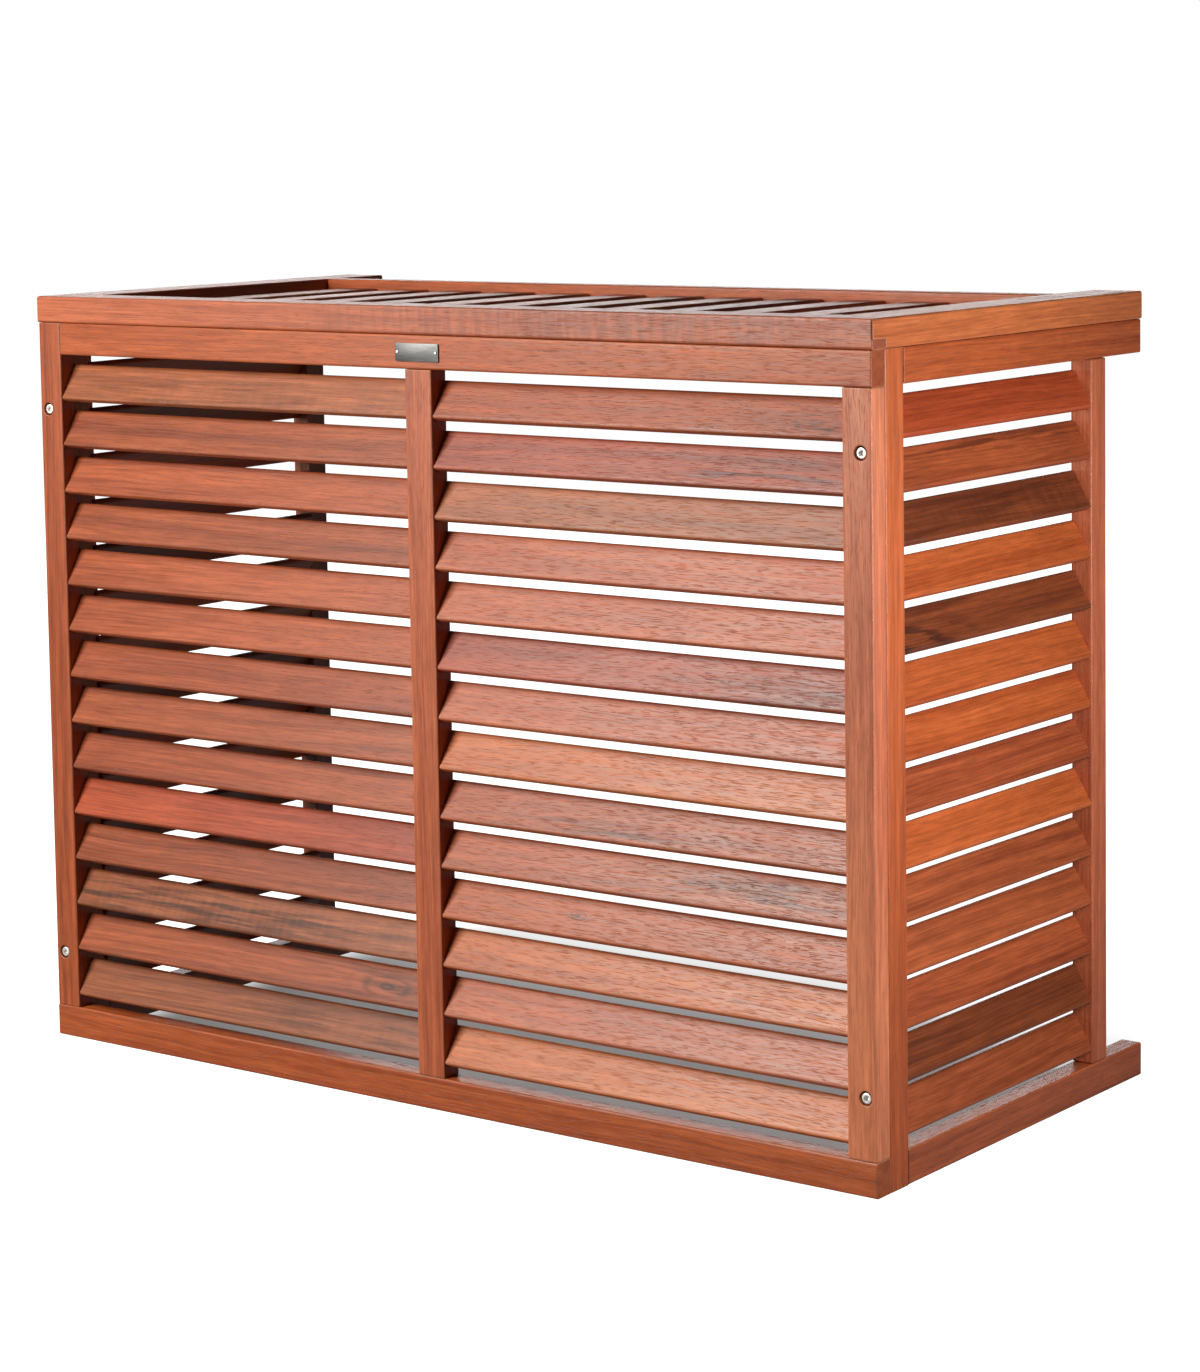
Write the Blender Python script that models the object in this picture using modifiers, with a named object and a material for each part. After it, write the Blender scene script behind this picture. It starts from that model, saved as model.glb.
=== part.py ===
"""Air conditioner screen: a slatted hardwood cover with a lift-off slatted lid.

A front panel and two side panels stand on the ground round an outdoor unit. The rear and
the bottom are open. The side rails run on behind the rear stiles to meet the wall.
+X is the screen's width, +Y runs from its front to the wall and +Z is up. The origin lies
on the ground, in the middle of the outline.
"""

from math import atan2, cos, radians, sin

import bmesh
import bpy
from mathutils import Matrix, Vector

# Overall sizes
WIDTH = 1.000
DEPTH = 0.480
HEIGHT = 0.7655

# Frame boards of the three upright panels
FRAME_THICKNESS = 0.022
FRONT_STILE_WIDTH = 0.030
MULLION_WIDTH = 0.032
RAIL_HEIGHT = 0.032
SIDE_FRONT_STILE_WIDTH = 0.030
SIDE_REAR_STILE_WIDTH = 0.028
RAIL_TAIL = 0.0685
EDGE_EASE = 0.0015

# Tenons, and the gap that is left where one piece meets another
TENON_LENGTH = 0.014
TENON_THICKNESS = 0.008
TENON_SHOULDER = 0.006
JOINT_GAP = 0.0003

# Louvre slats, one stock for the panels and the lid
SLAT_COUNT = 14
SLAT_WIDTH = 0.040
SLAT_THICKNESS = 0.009
SLAT_TILT = radians(30)
SLAT_ROUND = 0.0025
SLAT_SETBACK = 0.0003
END_SPACE_SHARE = 1.2
HOUSING_DEPTH = 0.006

# Lid
LID_THICKNESS = 0.0267
LID_OVERHANG = 0.0015
LID_SIDE_RAIL_WIDTH = 0.053
LID_FRONT_RAIL_WIDTH = 0.044
LID_REAR_RAIL_WIDTH = 0.022
LID_SLAT_COUNT = 12
LID_SLAT_RECESS = 0.009
LAP_HEIGHT = 0.0085
LAP_WIDTH = 0.0215
LID_EASE = 0.002

# Lid dowels, set in the side panels' top rails
DOWEL_RADIUS = 0.004
DOWEL_BELOW = 0.012
DOWEL_ABOVE = 0.010
DOWEL_CHAMFER = 0.001
DOWEL_CLEARANCE = 0.0006
DOWEL_PLACE_SHARES = (0.15, 0.70)

# Bolts through the front stiles, and the threaded inserts that take them
BOLT_INSET = 0.088
BOLT_HEAD_RADIUS = 0.005
BOLT_HEAD_HEIGHT = 0.006
BOLT_HEAD_CHAMFER = 0.0006
BOLT_SHANK_RADIUS = 0.003
BOLT_LENGTH = 0.032
BOLT_TIP_CHAMFER = 0.0008
BOLT_SINK = 0.0008
SOCKET_RADIUS = 0.0029
SOCKET_SIDES = 6
SOCKET_DEPTH = 0.0032
COUNTERBORE_RADIUS = 0.0067
BOLT_CLEARANCE = 0.0005
INSERT_RADIUS = 0.005
INSERT_LENGTH = 0.015
INSERT_FLANGE_RADIUS = 0.0062
INSERT_FLANGE = 0.0012

# Bare plate on the top rail, and its two pins
PLATE_WIDTH = 0.052
PLATE_HEIGHT = 0.0172
PLATE_THICKNESS = 0.0012
PLATE_CORNER = 0.0012
PIN_INSET = 0.0028
PIN_RADIUS = 0.0008
PIN_HEAD_RADIUS = 0.0016
PIN_HEAD_HEIGHT = 0.0007
PIN_LENGTH = 0.009
PIN_DOME_ANGLE = radians(45)

# Facets
EASE_SEGMENTS = 2
TURN_STEPS = 16
SHARP_ANGLE = radians(50)
MERGE_DISTANCE = 0.00001

# How far a cutter runs past the piece that it cuts
OVERRUN = 0.004

# Levels and planes that the pieces share
LID_BOTTOM = HEIGHT - LID_THICKNESS
BOX_TOP = LID_BOTTOM - JOINT_GAP
OPENING_BOTTOM = RAIL_HEIGHT
OPENING_TOP = BOX_TOP - RAIL_HEIGHT
PLATE_STAND_OFF = PLATE_THICKNESS + 2 * JOINT_GAP + PIN_HEAD_HEIGHT
SIDE_X = WIDTH / 2
FRONT_Y = (PLATE_STAND_OFF - DEPTH) / 2
REAR_Y = FRONT_Y + DEPTH
FRONT_BACK_Y = FRONT_Y + FRAME_THICKNESS
FRONT_MIDDLE_Y = FRONT_Y + FRAME_THICKNESS / 2
SIDE_START_Y = FRONT_BACK_Y + JOINT_GAP
SIDE_BAY_Y = SIDE_START_Y + SIDE_FRONT_STILE_WIDTH
REAR_STILE_BACK_Y = REAR_Y - RAIL_TAIL
REAR_STILE_Y = REAR_STILE_BACK_Y - SIDE_REAR_STILE_WIDTH
REAR_STILE_MIDDLE_Y = (REAR_STILE_Y + REAR_STILE_BACK_Y) / 2
SIDE_MIDDLE_X = SIDE_X - FRAME_THICKNESS / 2
LID_OUTER_X = SIDE_X + LID_OVERHANG
LID_INNER_X = LID_OUTER_X - LID_SIDE_RAIL_WIDTH
LID_RAIL_BACK_Y = FRONT_Y + LID_FRONT_RAIL_WIDTH

# Louvre slats as they stand in a panel
SLAT_RISE = SLAT_WIDTH * cos(SLAT_TILT) + SLAT_THICKNESS * sin(SLAT_TILT)
SLAT_REACH = SLAT_WIDTH * sin(SLAT_TILT) + SLAT_THICKNESS * cos(SLAT_TILT)
OPENING_FREE = OPENING_TOP - OPENING_BOTTOM - SLAT_COUNT * SLAT_RISE
SLAT_SPACE = OPENING_FREE / (SLAT_COUNT - 1 + 2 * END_SPACE_SHARE)
SLAT_MIDDLE_DEPTH = SLAT_SETBACK + SLAT_REACH / 2

# Colours: wood from light orange brown to dark purple brown, then the metals
WOOD_TONES = (
    (0.44, 0.170, 0.085),
    (0.37, 0.125, 0.065),
    (0.48, 0.200, 0.095),
    (0.30, 0.105, 0.062),
    (0.41, 0.135, 0.060),
)
TONE_STRIDE = 3
DOWEL_COLOUR = (0.55, 0.36, 0.19)
STEEL_COLOUR = (0.62, 0.61, 0.59)
BRASS_COLOUR = (0.60, 0.45, 0.20)


def clear_scene():
    """Remove every object, so that the script starts from nothing."""
    for item in list(bpy.data.objects):
        bpy.data.objects.remove(item, do_unlink=True)


def add_collection(name):
    """Make a collection under the scene's own."""
    collection = bpy.data.collections.new(name)
    bpy.context.scene.collection.children.link(collection)
    return collection


def add_material(name, colour, roughness, metallic=0.0):
    """A Principled material of one colour."""
    material = bpy.data.materials.new(name)
    material.use_nodes = True
    shader = material.node_tree.nodes["Principled BSDF"]
    shader.inputs["Base Color"].default_value = (*colour, 1.0)
    shader.inputs["Roughness"].default_value = roughness
    shader.inputs["Metallic"].default_value = metallic
    material.diffuse_color = (*colour, 1.0)
    return material


def wood(name, number):
    """Oiled hardwood, in the tone that the board's number picks."""
    tone = WOOD_TONES[number * TONE_STRIDE % len(WOOD_TONES)]
    return add_material(name, tone, roughness=0.45)


def add_object(name, mesh, place, material):
    """Put a piece in the screen's collection."""
    piece = bpy.data.objects.new(name, mesh)
    piece.matrix_world = place
    mesh.materials.append(material)
    PARTS.objects.link(piece)
    return piece


def add_cutter(name, mesh, place):
    """Put a shape that only cuts or joins others in the cutters' collection."""
    cutter = bpy.data.objects.new(name, mesh)
    cutter.matrix_world = place
    cutter.hide_render = True
    cutter.display_type = "WIRE"
    CUTTERS.objects.link(cutter)
    return cutter


def combine(piece, other, operation):
    """Cut another shape from a piece, or join it on."""
    step = piece.modifiers.new(other.name, "BOOLEAN")
    step.operation = operation
    step.solver = "EXACT"
    step.object = other


def cut(piece, *others):
    """Cut every other shape from a piece."""
    for other in others:
        combine(piece, other, "DIFFERENCE")


def join(piece, *others):
    """Join every other shape to a piece."""
    for other in others:
        combine(piece, other, "UNION")


def block(size, ease, run):
    """A box round the origin, its edges along one axis eased."""
    bm = bmesh.new()
    bmesh.ops.create_cube(bm, size=1.0)
    bmesh.ops.scale(bm, vec=size, verts=bm.verts)
    if ease > 0:
        edges = [
            edge for edge in bm.edges
            if abs(edge.verts[0].co[run] - edge.verts[1].co[run]) > size[run] / 2
        ]
        bmesh.ops.bevel(
            bm, geom=edges, offset=ease, offset_type="OFFSET", segments=EASE_SEGMENTS,
            profile=0.5, affect="EDGES", material=-1,
        )
    return bm


def finish_mesh(name, bm):
    """Turn a finished bmesh into a mesh, smooth but for its sharp edges."""
    mesh = bpy.data.meshes.new(name)
    bm.to_mesh(mesh)
    bm.free()
    mesh.shade_smooth()
    mesh.set_sharp_from_angle(angle=SHARP_ANGLE)
    return mesh


def block_mesh(name, size, ease=0.0, run=None):
    """A box round the origin, eased along its longest axis or along the one given."""
    size = Vector(size)
    longest = max(range(3), key=lambda axis: size[axis])
    return finish_mesh(name, block(size, ease, longest if run is None else run))


def board(name, low, high, number, ease=EDGE_EASE):
    """A sawn board between two opposite corners, its origin in its middle."""
    low, high = Vector(low), Vector(high)
    mesh = block_mesh(name, high - low, ease)
    return add_object(name, mesh, Matrix.Translation((low + high) / 2), wood(name, number))


def box_cutter(name, low, high):
    """A plain box between two opposite corners."""
    low, high = Vector(low), Vector(high)
    return add_cutter(name, block_mesh(name, high - low), Matrix.Translation((low + high) / 2))


def tenon(piece, mate, name, low, high):
    """Grow a tenon on a piece and cut its mortise in the mate."""
    gap = Vector((JOINT_GAP, JOINT_GAP, JOINT_GAP))
    low, high = Vector(low), Vector(high)
    join(piece, box_cutter(name + "_tenon", low, high))
    cut(mate, box_cutter(name + "_mortise", low - gap, high + gap))


def upright_tenon(piece, mate, name, middle, widths, shoulder_z, up):
    """A tenon on an upright's end: middle is its x and y, widths its sizes along them."""
    middle, half = Vector(middle), Vector(widths) / 2
    root, tip = shoulder_z - up * TENON_SHOULDER, shoulder_z + up * TENON_LENGTH
    low, high = middle - half, middle + half
    tenon(piece, mate, name, (low.x, low.y, min(root, tip)), (high.x, high.y, max(root, tip)))


def turned(name, profile, place, material):
    """A turned piece from (radius, height) points that run down its outer side.

    A profile that starts off the axis is closed up its inner side, as a sleeve.
    """
    bm = bmesh.new()
    points = [bm.verts.new((radius, 0, height)) for radius, height in profile]
    for upper, lower in zip(points, points[1:]):
        bm.edges.new((upper, lower))
    if profile[0][0] > 0:
        bm.edges.new((points[-1], points[0]))
    mesh = bpy.data.meshes.new(name)
    bm.to_mesh(mesh)
    bm.free()
    piece = add_object(name, mesh, place, material)
    turn = piece.modifiers.new("Turn", "SCREW")
    turn.axis = "Z"
    turn.angle = radians(360)
    turn.steps = TURN_STEPS
    turn.render_steps = TURN_STEPS
    turn.use_smooth_shade = True
    turn.use_merge_vertices = True
    turn.merge_threshold = MERGE_DISTANCE
    return piece


def drill(name, radius, start, end, place, sides=TURN_STEPS):
    """A cylinder along its place's own Z, between two heights on it."""
    bm = bmesh.new()
    bmesh.ops.create_cone(
        bm, cap_ends=True, segments=sides, radius1=radius, radius2=radius, depth=start - end,
    )
    bmesh.ops.translate(bm, vec=(0, 0, (start + end) / 2), verts=bm.verts)
    return add_cutter(name, finish_mesh(name, bm), place)


def facing_front(x, y, z):
    """A place whose own Z looks out of the front panel."""
    return Matrix.Translation((x, y, z)) @ Matrix.Rotation(radians(90), 4, "X")


def slat_heights():
    """Heights of the louvre slats' middles, from the top one down."""
    step = SLAT_RISE + SLAT_SPACE
    first = OPENING_TOP - END_SPACE_SHARE * SLAT_SPACE - SLAT_RISE / 2
    return [first - index * step for index in range(SLAT_COUNT)]


def louvre_place(x, y, z, turn):
    """Where a slat stands in a panel, its upper edge leaning into the screen."""
    return (
        Matrix.Translation((x, y, z))
        @ Matrix.Rotation(turn, 4, "Z")
        @ Matrix.Rotation(-SLAT_TILT, 4, "X")
    )


def slat_mesh(name, length, growth=0.0):
    """One slat round the origin, its length along X, grown by a gap for its housing."""
    size = (length, SLAT_THICKNESS + 2 * growth, SLAT_WIDTH + 2 * growth)
    return block_mesh(name, size, SLAT_ROUND + growth)


def slat_cutter(name, length, places, growth=0.0):
    """A row of slats as one shape, to cut their housings or to join them to a board."""
    single = slat_mesh(name + "_single", length, growth)
    bm = bmesh.new()
    for place in places:
        copy = single.copy()
        copy.transform(place)
        bm.from_mesh(copy)
    return add_cutter(name, finish_mesh(name, bm), Matrix())


def front_frame():
    """The front panel's stiles, rails and mullion.

    The bottom rail carries both stiles. At the left the stile runs up to the top, and at
    the right the top rail runs over the stile.
    """
    front, back, inner_x = FRONT_Y, FRONT_BACK_Y, SIDE_X - FRONT_STILE_WIDTH
    foot_z, head_z = OPENING_BOTTOM + JOINT_GAP, OPENING_TOP - JOINT_GAP
    half_mullion = MULLION_WIDTH / 2
    bottom = board("front_rail_bottom", (-SIDE_X, front, 0), (SIDE_X, back, RAIL_HEIGHT), 0)
    top = board(
        "front_rail_top", (JOINT_GAP - inner_x, front, OPENING_TOP), (SIDE_X, back, BOX_TOP), 4,
    )
    left = board("front_stile_left", (-SIDE_X, front, foot_z), (-inner_x, back, BOX_TOP), 2)
    right = board("front_stile_right", (inner_x, front, foot_z), (SIDE_X, back, head_z), 0)
    mullion = board(
        "front_mullion", (-half_mullion, front, foot_z), (half_mullion, back, head_z), 2,
    )

    stile = (FRONT_STILE_WIDTH - 2 * TENON_SHOULDER, TENON_THICKNESS)
    middle = (MULLION_WIDTH - 2 * TENON_SHOULDER, TENON_THICKNESS)
    stile_x = SIDE_X - FRONT_STILE_WIDTH / 2
    upright_tenon(left, bottom, "left_foot", (-stile_x, FRONT_MIDDLE_Y), stile, foot_z, -1)
    upright_tenon(right, bottom, "right_foot", (stile_x, FRONT_MIDDLE_Y), stile, foot_z, -1)
    upright_tenon(right, top, "right_head", (stile_x, FRONT_MIDDLE_Y), stile, head_z, 1)
    upright_tenon(mullion, bottom, "mullion_foot", (0, FRONT_MIDDLE_Y), middle, foot_z, -1)
    upright_tenon(mullion, top, "mullion_head", (0, FRONT_MIDDLE_Y), middle, head_z, 1)
    half = TENON_THICKNESS / 2
    tenon(
        top, left, "top_rail_end",
        (-inner_x - TENON_LENGTH, FRONT_MIDDLE_Y - half, OPENING_TOP + TENON_SHOULDER),
        (-inner_x + TENON_SHOULDER, FRONT_MIDDLE_Y + half, BOX_TOP - TENON_SHOULDER),
    )
    return top, left, right, mullion


def front_louvres(left, right, mullion):
    """Fourteen slats in each front bay, housed in the stiles and the mullion."""
    bay = SIDE_X - FRONT_STILE_WIDTH - MULLION_WIDTH / 2
    bay_x = (MULLION_WIDTH + bay) / 2
    slat_y = FRONT_Y + SLAT_MIDDLE_DEPTH
    length = bay + 2 * HOUSING_DEPTH
    for side, stile, sign, shift in (("left", left, -1, 0), ("right", right, 1, 2)):
        places = [louvre_place(sign * bay_x, slat_y, z, 0) for z in slat_heights()]
        slots = slat_cutter(f"slots_front_{side}", length, places, JOINT_GAP)
        cut(stile, slots)
        cut(mullion, slots)
        for index, place in enumerate(places):
            name = f"louvre_{side}_{index + 1:02d}"
            mesh = slat_mesh(name, length - 2 * JOINT_GAP)
            add_object(name, mesh, place, wood(name, index + shift))


def side_panel(side, sign):
    """A side panel: sign is 1 at the right and -1 at the left.

    Its slats and its rear stile are one node, and its front stile takes the slats' other
    ends. Both rails run on behind the rear stile.
    """
    low_x, high_x = sorted((sign * (SIDE_X - FRAME_THICKNESS), sign * SIDE_X))
    rail_y = SIDE_BAY_Y + JOINT_GAP
    foot_z, head_z = OPENING_BOTTOM + JOINT_GAP, OPENING_TOP - JOINT_GAP
    front = board(
        f"side_{side}_stile_front", (low_x, SIDE_START_Y, 0), (high_x, SIDE_BAY_Y, BOX_TOP), 4,
    )
    top = board(
        f"side_{side}_rail_top", (low_x, rail_y, OPENING_TOP), (high_x, REAR_Y, BOX_TOP), 3,
    )
    bottom = board(
        f"side_{side}_rail_bottom", (low_x, rail_y, 0), (high_x, REAR_Y, RAIL_HEIGHT), 0,
    )
    ladder = board(
        f"side_{side}_louvres_and_rear_stile",
        (low_x, REAR_STILE_Y, foot_z), (high_x, REAR_STILE_BACK_Y, head_z), 1,
    )

    middle_x, half = sign * SIDE_MIDDLE_X, TENON_THICKNESS / 2
    for rail, level, base_z in ((top, "top", OPENING_TOP), (bottom, "bottom", 0)):
        tenon(
            rail, front, f"side_{side}_{level}_end",
            (middle_x - half, SIDE_BAY_Y - TENON_LENGTH, base_z + TENON_SHOULDER),
            (middle_x + half, rail_y + TENON_SHOULDER, base_z + RAIL_HEIGHT - TENON_SHOULDER),
        )
    widths = (TENON_THICKNESS, SIDE_REAR_STILE_WIDTH - 2 * TENON_SHOULDER)
    middle = (middle_x, REAR_STILE_MIDDLE_Y)
    upright_tenon(ladder, bottom, f"side_{side}_rear_foot", middle, widths, foot_z, -1)
    upright_tenon(ladder, top, f"side_{side}_rear_head", middle, widths, head_z, 1)

    slat_x, turn = sign * (SIDE_X - SLAT_MIDDLE_DEPTH), sign * radians(90)
    start, end = SIDE_BAY_Y - HOUSING_DEPTH, REAR_STILE_Y + HOUSING_DEPTH
    slots = [louvre_place(slat_x, (start + end) / 2, z, turn) for z in slat_heights()]
    cut(front, slat_cutter(f"slots_side_{side}", end - start, slots, JOINT_GAP))
    start += JOINT_GAP
    slats = [louvre_place(slat_x, (start + end) / 2, z, turn) for z in slat_heights()]
    join(ladder, slat_cutter(f"slats_side_{side}", end - start, slats))
    return front, top


def mitre(name, sign, toward_side, low_z, high_z, offset):
    """A box with one face along a lid corner's mitre line, moved off it by an offset.

    The box lies on the side rail's side of the line for toward_side 1 and on the front
    rail's for -1.
    """
    outer = Vector((sign * LID_OUTER_X, FRONT_Y))
    inner = Vector((sign * LID_INNER_X, LID_RAIL_BACK_Y))
    line = outer - inner
    away = Vector((-line.y, line.x)).normalized() * sign * toward_side
    middle = (outer + inner) / 2 + away * (line.length / 2 + offset)
    size = (2 * line.length, line.length, high_z - low_z)
    place = (
        Matrix.Translation((middle.x, middle.y, (low_z + high_z) / 2))
        @ Matrix.Rotation(atan2(line.y, line.x), 4, "Z")
    )
    return add_cutter(name, block_mesh(name, size), place)


def lid_frame():
    """The lid's rails. At the front corners they are mitred above and lapped below.

    The front rail's lap runs out under the side rail, so that its end shows at the side.
    """
    lap_top, lap_y = LID_BOTTOM + LAP_HEIGHT, FRONT_Y + LAP_WIDTH
    above, below = HEIGHT + OVERRUN, LID_BOTTOM - OVERRUN
    front = board(
        "lid_rail_front", (-LID_OUTER_X, FRONT_Y, LID_BOTTOM),
        (LID_OUTER_X, LID_RAIL_BACK_Y, HEIGHT), 3, LID_EASE,
    )
    rails = {}
    for side, sign in (("left", -1), ("right", 1)):
        low_x, high_x = sorted((sign * LID_INNER_X, sign * LID_OUTER_X))
        rail = board(
            f"lid_rail_{side}", (low_x, FRONT_Y, LID_BOTTOM), (high_x, REAR_Y, HEIGHT), 0,
            LID_EASE,
        )
        shoulder_x, end_x = sorted((
            sign * (LID_INNER_X - JOINT_GAP), sign * (LID_OUTER_X + OVERRUN),
        ))
        cut(
            front,
            mitre(f"mitre_front_{side}", sign, 1, lap_top, above, 0),
            box_cutter(
                f"lap_front_{side}", (shoulder_x, lap_y, below),
                (end_x, LID_RAIL_BACK_Y + OVERRUN, lap_top + JOINT_GAP),
            ),
        )
        cut(
            rail,
            mitre(f"mitre_{side}", sign, -1, lap_top, above, -JOINT_GAP),
            box_cutter(
                f"lap_{side}", (low_x - OVERRUN, FRONT_Y - OVERRUN, below),
                (high_x + OVERRUN, lap_y + JOINT_GAP, lap_top + JOINT_GAP),
            ),
        )
        rails[side] = rail
    return front, rails


def lid_slats(front, rails):
    """The lid's flat slats, one node with its rear rail, housed in the front rail.

    The spaces between them and beside the outer ones are equal.
    """
    half = LID_REAR_RAIL_WIDTH / 2
    end_x = LID_INNER_X - JOINT_GAP
    rear = board(
        "lid_slats_and_rear_rail", (-end_x, REAR_STILE_MIDDLE_Y - half, LID_BOTTOM),
        (end_x, REAR_STILE_MIDDLE_Y + half, HEIGHT), 1, LID_EASE,
    )
    half_width = half - TENON_SHOULDER
    middle_z = (LID_BOTTOM + HEIGHT) / 2
    for side, sign in (("left", -1), ("right", 1)):
        root, tip = sign * (end_x - TENON_SHOULDER), sign * (LID_INNER_X + TENON_LENGTH)
        tenon(
            rear, rails[side], f"lid_rear_{side}",
            (min(root, tip), REAR_STILE_MIDDLE_Y - half_width, middle_z - TENON_THICKNESS / 2),
            (max(root, tip), REAR_STILE_MIDDLE_Y + half_width, middle_z + TENON_THICKNESS / 2),
        )

    space = (2 * LID_INNER_X - LID_SLAT_COUNT * SLAT_WIDTH) / (LID_SLAT_COUNT + 1)
    step = SLAT_WIDTH + space
    first_x = step - LID_INNER_X - SLAT_WIDTH / 2
    slat_z = HEIGHT - LID_SLAT_RECESS - SLAT_THICKNESS / 2
    lay_flat = Matrix.Rotation(radians(90), 4, "Z") @ Matrix.Rotation(radians(90), 4, "X")

    def row(name, start, end, growth):
        places = [
            Matrix.Translation((first_x + index * step, (start + end) / 2, slat_z)) @ lay_flat
            for index in range(LID_SLAT_COUNT)
        ]
        return slat_cutter(name, end - start, places, growth)

    start, end = LID_RAIL_BACK_Y - HOUSING_DEPTH, REAR_STILE_MIDDLE_Y - half + HOUSING_DEPTH
    cut(front, row("slots_lid", start, end, JOINT_GAP))
    join(rear, row("slats_lid", start + JOINT_GAP, end, 0.0))


def dowels(tops, rails):
    """Two dowels in each side panel's top rail, which the lid's side rails drop over."""
    run = REAR_Y - SIDE_BAY_Y
    below, above = -DOWEL_BELOW, DOWEL_ABOVE
    profile = (
        (0, above), (DOWEL_RADIUS - DOWEL_CHAMFER, above), (DOWEL_RADIUS, above - DOWEL_CHAMFER),
        (DOWEL_RADIUS, below + DOWEL_CHAMFER), (DOWEL_RADIUS - DOWEL_CHAMFER, below), (0, below),
    )
    material = add_material("dowel", DOWEL_COLOUR, roughness=0.6)
    for side, sign in (("left", -1), ("right", 1)):
        for end, share in zip(("front", "rear"), DOWEL_PLACE_SHARES):
            name = f"dowel_{side}_{end}"
            place = Matrix.Translation((sign * SIDE_MIDDLE_X, SIDE_BAY_Y + run * share, BOX_TOP))
            turned(name, profile, place, material)
            cut(tops[side], drill(
                name + "_seat", DOWEL_RADIUS + JOINT_GAP, OVERRUN, below - JOINT_GAP, place,
            ))
            cut(rails[side], drill(
                name + "_hole", DOWEL_RADIUS + DOWEL_CLEARANCE, above + JOINT_GAP, -OVERRUN, place,
            ))


def bolts(front_stiles, side_stiles):
    """Socket-head bolts, sunk in the front stiles and held by inserts in the side stiles."""
    head_bottom = -BOLT_HEAD_HEIGHT
    tip = head_bottom - BOLT_LENGTH
    bolt_profile = (
        (0, 0), (BOLT_HEAD_RADIUS - BOLT_HEAD_CHAMFER, 0), (BOLT_HEAD_RADIUS, -BOLT_HEAD_CHAMFER),
        (BOLT_HEAD_RADIUS, head_bottom), (BOLT_SHANK_RADIUS, head_bottom),
        (BOLT_SHANK_RADIUS, tip + BOLT_TIP_CHAMFER), (BOLT_SHANK_RADIUS - BOLT_TIP_CHAMFER, tip),
        (0, tip),
    )
    bore = BOLT_SHANK_RADIUS + JOINT_GAP
    insert_profile = (
        (bore, 0), (INSERT_FLANGE_RADIUS, 0), (INSERT_FLANGE_RADIUS, -INSERT_FLANGE),
        (INSERT_RADIUS, -INSERT_FLANGE), (INSERT_RADIUS, -INSERT_LENGTH), (bore, -INSERT_LENGTH),
    )
    steel = add_material("bolt_steel", STEEL_COLOUR, roughness=0.25, metallic=1.0)
    brass = add_material("insert_brass", BRASS_COLOUR, roughness=0.35, metallic=1.0)
    hole = BOLT_SHANK_RADIUS + BOLT_CLEARANCE
    for side, sign in (("left", -1), ("right", 1)):
        for level, z in (("lower", BOLT_INSET), ("upper", BOX_TOP - BOLT_INSET)):
            name = f"bolt_{side}_{level}"
            head = facing_front(sign * SIDE_MIDDLE_X, FRONT_Y + BOLT_SINK, z)
            face = facing_front(sign * SIDE_MIDDLE_X, SIDE_START_Y, z)
            bolt = turned(name, bolt_profile, head, steel)
            cut(bolt, drill(name + "_socket", SOCKET_RADIUS, OVERRUN, -SOCKET_DEPTH, head, SOCKET_SIDES))
            turned(f"insert_{side}_{level}", insert_profile, face, brass)
            cut(
                front_stiles[side],
                drill(name + "_counterbore", COUNTERBORE_RADIUS, OVERRUN, head_bottom - JOINT_GAP, head),
                drill(name + "_hole", hole, OVERRUN, -FRAME_THICKNESS - OVERRUN, head),
            )
            cut(
                side_stiles[side],
                drill(
                    name + "_flange_seat", INSERT_FLANGE_RADIUS + JOINT_GAP, OVERRUN,
                    -INSERT_FLANGE - JOINT_GAP, face,
                ),
                drill(
                    name + "_insert_seat", INSERT_RADIUS + JOINT_GAP, OVERRUN,
                    -INSERT_LENGTH - JOINT_GAP, face,
                ),
                drill(name + "_tip_hole", hole, 0, tip - JOINT_GAP, head),
            )


def name_plate(rail):
    """A bare steel plate over the mullion, held by a pin at each end."""
    middle_z = (OPENING_TOP + BOX_TOP) / 2
    plate_y = FRONT_Y - JOINT_GAP - PLATE_THICKNESS / 2
    steel = add_material("plate_steel", STEEL_COLOUR, roughness=0.3, metallic=1.0)
    size = (PLATE_WIDTH, PLATE_THICKNESS, PLATE_HEIGHT)
    plate = add_object(
        "name_plate", block_mesh("name_plate", size, PLATE_CORNER, run=1),
        Matrix.Translation((0, plate_y, middle_z)), steel,
    )
    pin_profile = (
        (0, PIN_HEAD_HEIGHT),
        (PIN_HEAD_RADIUS * sin(PIN_DOME_ANGLE), PIN_HEAD_HEIGHT * cos(PIN_DOME_ANGLE)),
        (PIN_HEAD_RADIUS, 0), (PIN_RADIUS, 0), (PIN_RADIUS, PIN_HEAD_RADIUS - PIN_LENGTH),
        (0, -PIN_LENGTH),
    )
    pin_material = add_material("pin_steel", STEEL_COLOUR, roughness=0.2, metallic=1.0)
    pin_y = FRONT_Y - 2 * JOINT_GAP - PLATE_THICKNESS
    for side, sign in (("left", -1), ("right", 1)):
        name = f"plate_pin_{side}"
        place = facing_front(sign * (PLATE_WIDTH / 2 - PIN_INSET), pin_y, middle_z)
        turned(name, pin_profile, place, pin_material)
        hole = drill(name + "_hole", PIN_RADIUS + JOINT_GAP, OVERRUN, -PIN_LENGTH - JOINT_GAP, place)
        cut(plate, hole)
        cut(rail, hole)


clear_scene()
PARTS = add_collection("air_conditioner_screen")
CUTTERS = add_collection("cutters")

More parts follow.
